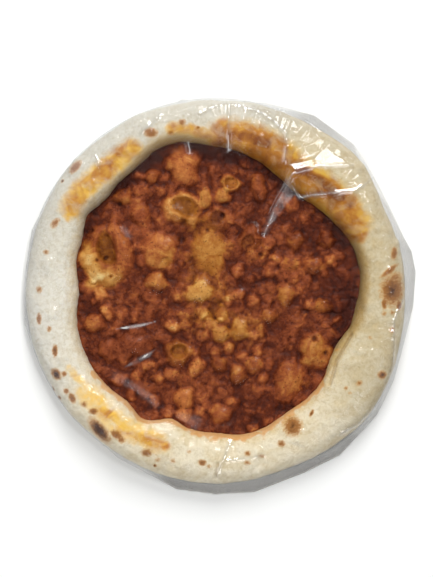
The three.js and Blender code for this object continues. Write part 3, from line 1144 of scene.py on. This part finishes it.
@dataclass
class Sauce:
    """The baked sauce that fills the well: blisters, curds and a thin edge that creeps up the crust."""

    plan: Plan
    finish: SauceFinish = field(default_factory=SauceFinish)
    cells: int = 300
    overlap: float = 5.0
    depth: float = 2.5
    creep: float = 1.2
    base_tone: float = 0.3
    base_yellow: float = 0.12
    swirls: tuple[Relief, ...] = rows(Relief, (9, 2.0, 2, 1.0), (9, 2.0, 2, 2.0))
    relief: tuple[Relief, ...] = rows(Relief, (14, 0.4, 3, 9.0), (2.2, 0.15, 2, 3.0))
    lump_layers: tuple[Spot, ...] = ((15.0, 1.5, 0.13), (8.0, 1.5, 0.16), (4.4, 0.7, 0.08))
    blisters: tuple[Blister, ...] = rows(
        Blister,
        (-23, 91, 16, 12, 90, 7, 0.62, 0.3), (-24, 60, 16, 13.5, -10, 7, 0.7, 0.6),
        (-80.5, 25.5, 24, 19.5, 100, 7.5, 0.5, 0.4), (-69.5, 33, 19, 7, 112, 7.5, 0.5, 0.05),
        (-41.5, 28, 16, 13, 100, 6.5, 0.58, 0.45), (-43, 6, 9.5, 8, 0, 5.5, 0.6, 0.5),
        (-27.5, -46.5, 11.5, 11, 0, 6.5, 0.5, 0.6), (74.5, -46, 14.5, 13, 120, 7, 0.58, 0.6),
        (54, -67, 17, 11, 80, 6.5, 0.5, 0.35), (-68, 69, 8, 7, 20, 5.5, 0.55, 0.4),
        (-46.5, 84, 7, 5.5, 60, 4.5, 0.5, 0.3), (-55, 55, 9, 8, 80, 5, 0.45, 0.3),
        (-7, 67, 5, 9, 0, 4.5, 0.6, 0.6), (5.5, 69, 6.5, 6, 0, 4.5, 0.6, 0.6),
        (11, 78, 8, 7.5, 0, 5.5, 0.6, 0.6), (32, 75.5, 13, 6, 95, 5.5, 0.45, 0.3),
        (1.5, 52, 10.5, 10, 0, 5, 0.42, 0.35), (26, 38, 11, 9, 60, 5, 0.42, 0.3),
        (59, 36.5, 8, 7, 80, 5.5, 0.45, 0.35), (82, 37, 7, 7, 0, 5, 0.4, 0.3),
        (72.5, 18, 8, 7, 0, 6, 0.5, 0.35), (55.5, 19, 7, 6.5, 0, 4.5, 0.45, 0.35),
        (52.5, -5, 9, 6.5, 80, 5, 0.5, 0.5), (80, -12, 8, 6, 0, 5, 0.5, 0.5),
        (40, -19.5, 7, 6, 0, 4, 0.45, 0.3), (-12, -2, 12, 8, 15, 5.5, 0.62, 0.6),
        (-4, 29, 18, 14, 80, 3.6, 0.47, 0.42), (4.5, -33, 8, 6.5, 0, 5, 0.55, 0.5),
        (18, -30.5, 8, 8, 0, 5.5, 0.55, 0.5), (28.5, -55.5, 7.5, 6.5, 0, 5, 0.5, 0.4),
        (17, -63, 8, 7, 80, 5.5, 0.5, 0.4), (3, -55, 6.5, 6, 0, 4.5, 0.45, 0.4),
        (-23, -80.5, 9, 8, 90, 6, 0.62, 0.35), (-23, -92, 7, 6, 0, 5, 0.55, 0.3),
        (4, -92, 8.5, 8, 0, 6, 0.6, 0.45), (-89, -25, 8, 7.5, 0, 5.5, 0.55, 0.35),
        (-80, -45, 6.5, 9.5, 10, 4.8, 0.5, 0.5), (-64, -42, 19, 10.5, 8, 5.6, 0.42, 0.05),
        (-59, -32, 8, 6, 0, 4, 0.4, 0.2), (-53, -73, 11, 6, 150, 4, 0.42, 0.2),
    )
    hollows: tuple[Hollow, ...] = rows(
        Hollow,
        (-22, 61, 11.0, 7.5, -25, 5, -0.4, 0.3), (-27, -46, 6.5, 5.5, 20, 4.5, -0.12, 0.1),
        (-80, 30, 7.5, 13, 12, 5, -0.2, 0.5), (12, 78.5, 5, 4.5, 0, 4), (1.5, 53, 6, 5.5, 0, 2),
        (24, 35, 6, 4.5, 60, 2.5), (79, -45, 5, 7, 30, 1.5, -0.03, 0.0), (-36, 20, 5, 4, 0, 1.5, 0.0, 0.1),
    )
    beads: tuple[Spot, ...] = (
        (-37.0, 82.9, 4.0), (-54.8, 82.9, 4.0), (-54.8, 74.0, 4.5), (56.2, 63.6, 5.0), (-5.9, 43.7, 4.5),
        (-79.9, -17.0, 5.0), (-69.6, -17.0, 4.5), (-66.6, -51.0, 4.0), (-58.5, -64.4, 4.5),
        (-44.4, -82.9, 4.5), (-34.8, -90.3, 4.5), (17.0, -4.4, 5.0), (17.0, 14.0, 5.0), (-8.9, 6.7, 5.0),
        (-8.9, -17.0, 4.5), (-3.0, -26.6, 4.5), (-8.9, -34.0, 4.0), (3.7, -25.2, 4.5), (27.4, -34.0, 4.0),
        (19.2, -23.7, 4.5), (8.9, -43.7, 4.0), (0.7, -47.4, 4.0), (-11.8, -55.5, 4.5),
        (-16.3, -59.9, 4.0), (20.0, -50.3, 4.5), (13.3, -84.4, 5.0), (-11.8, -90.3, 4.0),
        (85.8, 21.5, 4.5), (44.4, 21.5, 5.0), (39.2, 34.8, 4.5), (40.7, 14.0, 5.0), (48.8, 10.4, 4.5),
        (69.6, -11.8, 4.5), (90.3, -22.9, 4.5), (9.0, -8.0, 4.0), (28.0, -8.0, 4.5), (33.0, -45.0, 4.0),
        (-33.0, -62.0, 4.0), (-42.0, -66.0, 4.0), (-50.0, -55.0, 4.0), (-62.0, -78.0, 4.0),
        (-70.0, -66.0, 4.5), (36.0, -66.0, 4.0), (-31.0, -27.0, 4.5), (-84.0, -4.0, 4.5),
    )
    pits: tuple[Spot, ...] = (
        (-87.3, 21.5, 1.3), (-81.4, 22.9, 1.2), (-79.9, 23.7, 1.0), (-91.0, 43.7, 1.3), (-77.0, 9.6, 1.2),
        (-70.3, 63.6, 1.6), (-22.9, 50.3, 3.0), (-5.9, 43.7, 1.5), (-24.5, 37.0, 1.8), (81.4, -46.6, 1.4),
        (73.3, -36.3, 2.2), (5.5, 55.0, 1.6), (34.0, 26.0, 1.6),
    )
    zones: tuple[Zone, ...] = rows(
        Zone,
        (-93, 20, 8, 19, 15, 0.32, 0.6), (-82, 6, 17, 8, 10, 0.3, 0.6), (-62, 42, 10, 18, 20, 0.05, -0.6),
        (-36, 21, 9, 9, 0, 0.0, 0.2), (-48, 40, 16, 12, -40, 0.08, -0.2), (-8, 30, 18, 27, 5, 0.1, 0.45),
        (-4, -6, 20, 20, 0, 0.08, 0.4), (4, -28, 30, 16, -15, 0.06, 0.3), (30, -20, 16, 12, 0, 0.03, 0.2),
        (30, 60, 24, 14, 0, -0.04, -0.2), (-30, -86, 40, 14, 0, 0.06, -0.1),
        # Painted shade: the rows at (8, 99), (60, 82), (92, -4), (-51, 95) and (-68, 80) darken the sauce
        # along the well's far edge.
        (8, 99, 26, 9, -5, -0.22, -0.1), (60, 82, 26, 9, -45, -0.22, -0.1),
        (92, -4, 26, 11, 90, -0.24, -0.1), (70, 34, 9, 9, 0, -0.12, 0.0), (-51, 95, 12, 7, 30, -0.2, -0.1),
        (-68, 80, 9, 7, 45, -0.2, -0.1), (27, 9, 9, 8, 0, -0.12, -0.1),
        (-78, -60, 24, 14, -55, -0.06, -0.3), (-60, -40, 30, 20, -30, -0.04, -0.2),
        (30, -88, 30, 12, 10, -0.1, -0.2), (-20, -90, 30, 14, 0, 0.02, -0.1),
        (-100, 2, 22, 6, 90, -0.1, -0.2),
    )

    def build(self) -> bpy.types.Object:
        """Models the sauce, raises its blisters and dresses it."""
        piece = self._model()
        self._work_surface(piece)
        hand_over(piece, self.finish.material(), Slot.SAUCE, self.plan)
        return piece

    def _model(self) -> bpy.types.Object:
        """Models a flat slab of sauce: an even grid rounded off, with its edge drawn down and closed."""
        piece = round_grid("sauce", self.cells, lambda bearing: self.plan.well(bearing) + self.overlap)
        with modelling():
            bpy.ops.mesh.select_non_manifold()
            down = {"value": (0, 0, -self.depth * MM)}
            bpy.ops.mesh.extrude_region_move(TRANSFORM_OT_translate=down)
            bpy.ops.mesh.edge_face_add()
        return piece

    def _work_surface(self, piece: bpy.types.Object) -> None:
        """Lifts the slab to the plan's floor, raises blisters and curds on it, and marks their tones."""
        points = read_points(piece)
        top = points[:, 2] > -self.depth / 2
        plan_points = points[:, :2]
        flat = on_floor(plan_points)
        warped = flat + on_floor(np.column_stack([swirl.rise(flat) for swirl in self.swirls]))
        start = np.zeros(len(points))
        surface = SauceSurface(start, start + self.base_tone, start + self.base_yellow)
        free = 1 - 0.8 * self._raise_blisters(surface, plan_points, warped[:, :2])
        self._scatter_lumps(surface, warped, free)
        for layer in self.relief:
            surface.height += layer.rise(flat)
        for zone in self.zones:
            surface.add(smoothstep(1.4, 0.3, zone.reach(warped[:, :2])), 0.0, zone.tone, zone.yellow)
        for x, y, radius in self.pits:
            dip = bell(np.hypot(plan_points[:, 0] - x, plan_points[:, 1] - y), radius)
            surface.add(dip, -0.9 * radius, -0.5, 0.0)
        reach, bearing = polar(plan_points)
        shore = reach - self.plan.well(bearing)
        # Painted shadow: the sauce is darker along the well's far edge, where the rim shades it.
        surface.tone -= 0.22 * smoothstep(-13, -2, shore) * self.plan.far_side(bearing)
        surface.height += self.creep * smoothstep(-6, 2, shore) * (0.6 + soft_noise(flat, 8, 2, 2.5))
        surface.height *= smoothstep(6, -2, shore)
        points[:, 2] += self.plan.floor(plan_points) + np.where(top, surface.height, 0)
        write_points(piece, points)
        write_masks(piece, tone=surface.tone, yellow=surface.yellow)

    def _raise_blisters(self, surface: SauceSurface, plan_points: Array, warped: Array) -> Array:
        """Raises the large blisters, each with a darker foot of painted shade, and sinks the hollows in
        them.

        Args:
            surface: What is raised and toned.
            plan_points: Places as rows of x and y, in mm.
            warped: The same places, moved a little, so that no outline is even.

        Returns:
            1 on a blister and 0 between them, for each place.
        """
        domed = np.zeros(len(plan_points))
        for blister in self.blisters:
            away = blister.reach(plan_points + 0.5 * (warped - plan_points))
            inside = smoothstep(1.1, 0.65, away)
            surface.height = np.maximum(surface.height, blister.height * np.clip(1 - away**3, 0, 1))
            surface.tone += inside * (blister.tone - surface.tone)
            surface.yellow += inside * (blister.yellow - surface.yellow)
            # Painted shade: a darker ring in the crevice at the blister's foot.
            surface.tone -= 0.08 * bell(away - 1.12, 0.14) * (blister.height / 7)
            domed = np.maximum(domed, inside)
        for hollow in self.hollows:
            share = smoothstep(1.15, 0.6, hollow.reach(plan_points + 0.3 * (warped - plan_points)))
            surface.add(share, -hollow.depth, hollow.tone, hollow.yellow)
        return domed

    def _scatter_lumps(self, surface: SauceSurface, warped: Array, free: Array) -> None:
        """Raises the named beads and the seeded layers of small lumps.

        Args:
            surface: What is raised and toned.
            warped: Places as rows of x, y and z, in mm.
            free: 1 between the large blisters, less on them.
        """
        for x, y, radius in self.beads:
            away = np.hypot(*(warped[:, :2] - (x, y)).T) / (1.25 * radius)
            dome = np.clip(1 - away**2, 0, 1)
            surface.add(dome * free, 0.5 * radius, 0.3, 0.12)
            # Painted shade: a darker ring in the crevice round each bead.
            surface.tone -= 0.08 * bell(away - 1.1, 0.25) * free
        for index, (size, rise, light) in enumerate(self.lump_layers):
            domes, chance = cell_domes(warped, size, 2.0 * index)
            surface.height += rise * domes * (0.3 + 0.9 * chance) * free
            surface.tone += light * (domes * (0.4 + 1.2 * chance) - 0.45) * (0.35 + 0.65 * free)
            surface.yellow += 0.3 * (chance - 0.5) * domes * free


# ---- The film bag ----


@dataclass(frozen=True)
class Crease:
    """A sharp fold of the film along a broken line."""

    path: Path
    height: float
    width: float = 1.4
    # How white the crease is: partly milky film, partly a painted glint.
    milk_and_painted_glint: float = 0.25


@dataclass(frozen=True)
class Facet:
    """A flat pane of the film between its creases, which catches the light from above."""

    corners: Path
    shine: float
    # How white the pane is: partly milky film, partly a painted glint.
    milk_and_painted_glint: float = 0.0

    def share(self, plan_points: Array) -> Array:
        """1 well inside the pane, 0 outside, with a narrow soft edge.

        Args:
            plan_points: Places as rows of x and y, in mm.

        Returns:
            One number from 0 to 1 for each place.
        """
        inside = np.zeros(len(plan_points), dtype=bool)
        x, y = plan_points.T
        ring = (*self.corners, self.corners[0])
        for (x0, y0), (x1, y1) in zip(ring, ring[1:]):
            if y0 != y1:
                crosses = ((y0 > y) != (y1 > y)) & (x < x0 + (y - y0) * (x1 - x0) / (y1 - y0))
                inside ^= crosses
        return np.where(inside, smoothstep(0, 1.2, path_distance(plan_points, ring)), 0.0)


@dataclass
class FilmBag:
    """The clear film bag: drawn down over the rim and the sauce, and lying out as a skirt on one side."""

    plan: Plan
    finish: FilmFinish = field(default_factory=FilmFinish)
    cells: int = 290
    map_step: float = 1.25
    gap: float = 0.3
    sinking: tuple[tuple[float, int], ...] = ((0.06, 250), (0.02, 150), (0.004, 400))
    skirt_level: float = 0.9
    lowest: float = 0.15
    highest: float = 24.9
    pucker_height: float = 1.6
    rumple_size: float = 13.0
    under_rings: tuple[float, ...] = (1.0, 0.999, 0.99, 0.97, 0.9, 0.75, 0.5, 0.25, 0.08)
    creases: tuple[Crease, ...] = (
        Crease(((10.4, 140.6), (9.6, 103.6)), 1.0),
        Crease(((10.4, 140.6), (-11.8, 128.8)), 1.0),
        Crease(((12.0, 138.0), (18.0, 136.4), (34.8, 130.0), (44.7, 122.9), (52.3, 114.8)), 1.3, milk_and_painted_glint=0.6),
        Crease(((52.3, 114.8), (52.3, 105.0), (51.0, 94.2)), 1.0),
        Crease(((-54.8, 114.7), (-40.0, 128.8)), 0.9),
        Crease(((56.4, 84.8), (75.2, 90.6), (101.2, 91.5)), 2.0, 1.0, 0.45),
        Crease(((56.4, 84.8), (51.9, 74.4), (44.7, 61.9), (36.6, 41.3)), 2.6, 1.8, 0.3),
        Crease(((56.4, 76.2), (61.8, 67.7)), 1.6, 1.2, 0.4),
        Crease(
            ((61.8, 67.7), (72.0, 69.5), (86.0, 71.0), (102.0, 72.5), (110.0, 77.0), (117.4, 83.0)),
            1.3,
            milk_and_painted_glint=0.55,
        ),
        Crease(
            ((142.8, 1.5), (131.7, -22.9), (131.3, -57.0), (122.1, -82.1), (105.5, -99.2), (91.8, -106.6)),
            1.3,
            milk_and_painted_glint=0.5,
        ),
        Crease(((11.1, -112.5), (0.7, -138.4)), 0.9),
        Crease(((5.9, -126.5), (35.5, -122.1)), 0.7),
        Crease(((-20.0, 108.8), (-18.5, 102.0)), 1.0),
        Crease(((-88.8, 98.4), (-85.8, 90.3)), 1.0),
        Crease(((129.0, 92.0), (104.0, 118.0), (78.0, 137.0)), 1.4),
    )
    facets: tuple[Facet, ...] = (
        Facet(((53.3, 92.5), (58.5, 87.0), (74.0, 91.0), (72.0, 96.5)), 0.6, 0.1),
        Facet(((53.3, 92.5), (72.0, 96.5), (81.4, 105.8), (66.6, 99.2)), 0.2),
        Facet(((72.0, 96.5), (74.0, 91.0), (100.6, 93.2), (92.0, 97.5), (81.4, 105.8)), 0.5, 0.1),
        Facet(((95.8, 97.0), (99.4, 103.0), (101.2, 94.0)), 0.25),
        Facet(((62.2, 126.5), (68.1, 125.8), (81.4, 116.2), (77.0, 114.7)), 0.3),
        Facet(((38.5, 135.4), (51.1, 133.2), (59.2, 127.3), (47.4, 129.5)), 0.1),
        Facet(((62.2, 111.0), (74.0, 114.0), (78.4, 110.3), (66.6, 105.0)), 0.08),
        Facet(((-11.0, 129.0), (-30.0, 127.0), (-30.0, 131.5), (-13.0, 134.5)), 0.2),
        Facet(((12.0, 136.0), (22.0, 133.0), (21.0, 127.0), (12.0, 128.0)), 0.08),
        Facet(
            (
                (54.8, 84.4), (49.6, 74.0), (44.4, 62.9), (35.5, 41.4), (44.4, 50.3), (52.5, 61.4),
                (59.0, 69.0),
            ),
            0.03,
            0.11,
        ),
        Facet(((-76.0, -29.4), (-60.5, -25.8), (-41.0, -22.8), (-50.0, -26.6), (-60.5, -29.2)), 0.05, 1.25),
        Facet(((-68.8, -58.2), (-58.0, -50.0), (-43.0, -43.2), (-48.0, -50.0), (-58.0, -55.6)), 0.04, 0.2),
        Facet(((-60.0, -54.0), (-52.5, -48.2), (-45.0, -45.0), (-51.5, -50.6)), 0.05, 1.0),
    )

    def build(self, contents: Sequence[bpy.types.Object]) -> bpy.types.Object:
        """Models the film over what is in the bag, and dresses it.

        Args:
            contents: The bread and the sauce, already in their place.

        Returns:
            The film.
        """
        drape = self._drape(contents)
        piece = self._model()
        flat_points = read_points(piece)
        self._lay(piece, drape)
        self._mark(piece, flat_points)
        hand_over(piece, self.finish.material(), Slot.FILM, self.plan)
        return piece

    def _axis(self) -> Array:
        """The height map's rows or columns, in mm from the middle of the bread."""
        reach = self.plan.bread_radius + 20
        return np.arange(-reach, reach + self.map_step, self.map_step)

    def _drape(self, contents: Sequence[bpy.types.Object]) -> Array:
        """Lets a stretched skin sink onto the contents until it rests on them.

        Args:
            contents: The pieces under the film.

        Returns:
            A square map of the film's level, in mm.
        """
        axis = self._axis()
        count = len(axis)
        under = np.zeros((count, count))
        for piece in contents:
            points = read_points(piece) - np.array((*self.plan.middle, 0))
            column, row = np.rint((points[:, :2] - axis[0]) / self.map_step).astype(int).T
            np.maximum.at(under, (row, column), points[:, 2])
        x, y = np.meshgrid(axis, axis)
        reach, bearing = polar(np.column_stack((x.ravel(), y.ravel())))
        flat = self.plan.lying_flat(bearing)
        edge_level = self.skirt_level * flat + self.plan.girth_level * (1 - flat)
        outside = (reach > self.plan.bag(bearing)).reshape(count, count)
        edge = edge_level.reshape(count, count)
        rest = np.where(outside, edge, under + self.gap)
        skin = np.where(outside, edge, under.max() + self.gap)
        for pull, passes in self.sinking:
            for _ in range(passes):
                around = sum(np.roll(skin, step, axis) for step in (1, -1) for axis in (0, 1)) / 4
                skin = np.where(outside, edge, np.maximum(rest, around - pull))
        return skin

    def _model(self) -> bpy.types.Object:
        """Models the bag: an even grid rounded off for its top, and rings drawn in below for its underside.

        The level of each point only says which ring it is in: 0 on top, -1 and down below.
        """
        piece = round_grid("film", self.cells, self.plan.bag)
        with modelling():
            bpy.ops.mesh.select_non_manifold()
            draw_out_rings([(share, -1.0 - i) for i, share in enumerate(self.under_rings)], 1.0, 0.0)
            bpy.ops.mesh.merge(type="CENTER")
        return piece

    def _over_rim(self, reach: Array, bearing: Array) -> Array:
        """0 over the sauce, 1 over the rim."""
        return smoothstep(-4, 8, reach - self.plan.well(bearing))

    def _outer(self, reach: Array) -> Array:
        """0 over most of the bread, 1 past its widest line."""
        return smoothstep(self.plan.bread_radius - 22, self.plan.bread_radius, reach)

    def _puckers(self, reach: Array, bearing: Array) -> Array:
        """Long puckers that run in from the bag's edge: 0 along each ridge."""
        return np.abs(soft_noise(on_floor(np.column_stack((bearing * 2.4, reach * 0.06))), 5, 3))

    def _mark(self, piece: bpy.types.Object, flat_points: Array) -> None:
        """Marks where the film is spare, where it has a painted sheen, where it is glossy or crinkled, where
        creases are whitened with painted glints, and where it is a stretched pane.

        Args:
            piece: The laid film.
            flat_points: Its points while the bag was still flat.
        """
        plan = self.plan
        plan_points, top = flat_points[:, :2], flat_points[:, 2] > -0.5
        reach, bearing = polar(plan_points)
        flat, outer, over_rim = plan.lying_flat(bearing), self._outer(reach), self._over_rim(reach, bearing)
        patchy = smoothstep(-0.45, 0.45, soft_noise(on_floor(plan_points), 9, 3, 7.0))
        glint = 0.025 + 0.08 * over_rim
        creased, pane = np.zeros((2, len(plan_points)))
        for crease in self.creases:
            away = path_distance(plan_points, crease.path)
            glint = np.maximum(glint, smoothstep(2.2 * crease.width, 0.6 * crease.width, away))
            # White crease lines: partly whitened film, partly painted glints.
            creased = np.maximum(creased, crease.milk_and_painted_glint * bell(away, 0.6))
        creased *= 0.45 + 0.55 * patchy
        for facet in self.facets:
            share = facet.share(plan_points) * top
            glint += share * (facet.shine * (0.4 + 0.6 * patchy) - glint)
            creased = np.maximum(creased, facet.milk_and_painted_glint * (0.3 + 0.7 * patchy) * share)
            pane = np.maximum(pane, share)
        beyond = smoothstep(-1.0, 2.0, reach - plan.bread(bearing))
        clearer = smoothstep(-0.1, 0.8, np.cos(np.radians(bearing - 30)))
        # Spare film: its grey is partly its own layers and partly a painted shadow under it.
        spare = beyond * np.maximum(flat, 0.45) * (1 - 0.45 * clearer)
        x, y = read_points(piece)[:, :2].T
        upper_left = smoothstep(-30, 120, y - x)
        sparkling = smoothstep(0.25, 0.9, np.cos(np.radians(bearing - 40))) * outer
        shining = np.maximum(beyond, 0.45 * sparkling)
        ridges = smoothstep(0.16, 0.02, self._puckers(reach, bearing))
        # Painted glints: silvery streaks along the skirt's puckers and a bright line along its hem.
        streaks = ridges * beyond * flat * (0.4 + 0.6 * clearer)
        hem = smoothstep(1.8, 0.5, plan.bag(bearing) - reach) * flat * top
        write_masks(
            piece,
            spare=spare,
            # Painted sheen over the bread's outer edge, strongest at the upper left.
            veiled=outer * (0.35 + 0.65 * upper_left) * (1 - spare),
            glint=np.maximum(glint, 0.9 * shining * (1 - pane)),
            crinkled=(0.03 * over_rim + 0.5 * outer) * (1 - pane),
            creased=np.maximum(creased, np.maximum(0.4 * streaks, 0.45 * hem)),
            pane=pane,
        )

    def _lay(self, piece: bpy.types.Object, drape: Array) -> None:
        """Lays the top on the drape with its creases, and draws the edge in under the bread.

        Args:
            piece: The flat bag.
            drape: The height map.
        """
        plan = self.plan
        points = read_points(piece)
        plan_points, ring = points[:, :2], np.rint(-points[:, 2])
        reach, bearing = polar(plan_points)
        flat, bag = plan.lying_flat(bearing), plan.bag(bearing)
        level = self._read(drape, plan_points)
        inside = smoothstep(0, 5, bag - reach)
        for crease in self.creases:
            level += crease.height * np.exp(-path_distance(plan_points, crease.path) / crease.width) * inside
        level += self.pucker_height * (0.5 - self._puckers(reach, bearing)) * self._outer(reach) * inside
        rumple = 0.5 - np.abs(soft_noise(np.column_stack((plan_points, level)), self.rumple_size, 3, 4.0))
        level += (0.05 + 0.15 * self._over_rim(reach, bearing)) * rumple * inside
        turn = np.clip(ring / 4, 0, 1) * math.pi / 2
        edge = self.skirt_level * flat + plan.girth_level * (1 - flat)
        side_level = self.lowest + (edge - self.lowest) * (1 - np.sin(turn))
        side_reach = bag - plan.tuck_in * (1 - flat) * (1 - np.cos(turn))
        under_share = np.where(ring > 4, reach / bag, 1.0)
        new_reach = np.where(ring == 0, reach, side_reach * under_share)
        points[:, :2] *= (new_reach / np.maximum(reach, 1e-6))[:, None]
        points[:, 2] = np.where(ring == 0, np.minimum(level, self.highest), side_level)
        write_points(piece, points)

    def _read(self, drape: Array, plan_points: Array) -> Array:
        """Reads the height map at places between its cells."""
        start = self._axis()[0]
        column, row = ((plan_points - start) / self.map_step).T
        left, low = np.floor(column).astype(int), np.floor(row).astype(int)
        across, up = column - left, row - low
        near = drape[low, left] * (1 - across) + drape[low, left + 1] * across
        far = drape[low + 1, left] * (1 - across) + drape[low + 1, left + 1] * across
        return near * (1 - up) + far * up


# ---- The studio ----


@dataclass(frozen=True)
class Lamp:
    """A square area lamp that looks at the object."""

    name: str
    bearing: float
    elevation: float
    distance: float
    size: float
    watts: float


@dataclass
class Studio:
    """A pale floor, soft lamps and a camera straight above, as the photograph has it."""

    finish: FloorFinish = field(default_factory=FloorFinish)
    floor_size: float = 6.0
    camera_distance: float = 2.0
    sensor: float = 36.0
    aim_level: float = 0.009
    bag_middle_pixel: tuple[float, float] = (220.0, 296.5)
    sky: float = 0.23
    lamps: tuple[Lamp, ...] = (
        Lamp("window", 84, 40, 1.7, 0.8, 23.5),
        Lamp("ceiling", 59, 68.4, 1.42, 0.24, 4.2),
        Lamp("left_fill", 190, 42, 1.8, 1.2, 6.0),
        Lamp("front_fill", 275, 55, 1.8, 1.0, 9.5),
    )

    def build(self) -> None:
        """Makes the floor, the lamps, the sky and the camera."""
        self._floor()
        self._light()
        self._camera()

    def _floor(self) -> None:
        """Lays the floor just under the object."""
        clear_selection()
        bpy.ops.mesh.primitive_plane_add(size=self.floor_size)
        floor = bpy.context.object
        floor.name = "floor"
        floor.data.materials.append(self.finish.material())

    def _light(self) -> None:
        """Hangs the lamps and sets the sky's brightness."""
        for lamp in self.lamps:
            bearing, elevation = math.radians(lamp.bearing), math.radians(lamp.elevation)
            away = Vector(
                (
                    math.cos(bearing) * math.cos(elevation),
                    math.sin(bearing) * math.cos(elevation),
                    math.sin(elevation),
                )
            )
            bpy.ops.object.light_add(type="AREA", location=away * lamp.distance)
            light = bpy.context.object
            light.name = lamp.name
            light.rotation_euler = away.to_track_quat("Z", "Y").to_euler()
            light.data.size = lamp.size
            light.data.energy = lamp.watts
        world = bpy.data.worlds.new("sky")
        world.use_nodes = True
        world.node_tree.nodes["Background"].inputs["Color"].default_value = (0.95, 0.97, 1.0, 1.0)
        world.node_tree.nodes["Background"].inputs["Strength"].default_value = self.sky
        bpy.context.scene.world = world
        bpy.context.scene.view_settings.view_transform = "Standard"

    def _camera(self) -> None:
        """Sets the camera straight above, so that the bag lies where the photograph has it."""
        width, height = PHOTO_SIZE
        column, row = self.bag_middle_pixel
        x = (width / 2 - column) * MM_PER_PIXEL * MM
        y = (row - height / 2) * MM_PER_PIXEL * MM
        bpy.ops.object.camera_add(location=(x, y, self.camera_distance))
        camera = bpy.context.object
        camera.data.sensor_width = self.sensor
        reach = self.camera_distance - self.aim_level
        camera.data.lens = self.sensor * reach / (height * MM_PER_PIXEL * MM)
        bpy.context.scene.camera = camera


def main() -> None:
    """Builds the bread, the sauce, the film bag and the studio, in that order."""
    logging.basicConfig(level=logging.INFO, format="%(message)s")
    plan = Plan()
    bread = Bread(plan).build()
    sauce = Sauce(plan).build()
    FilmBag(plan).build([bread, sauce])
    Studio().build()


if __name__ == "__main__":
    main()
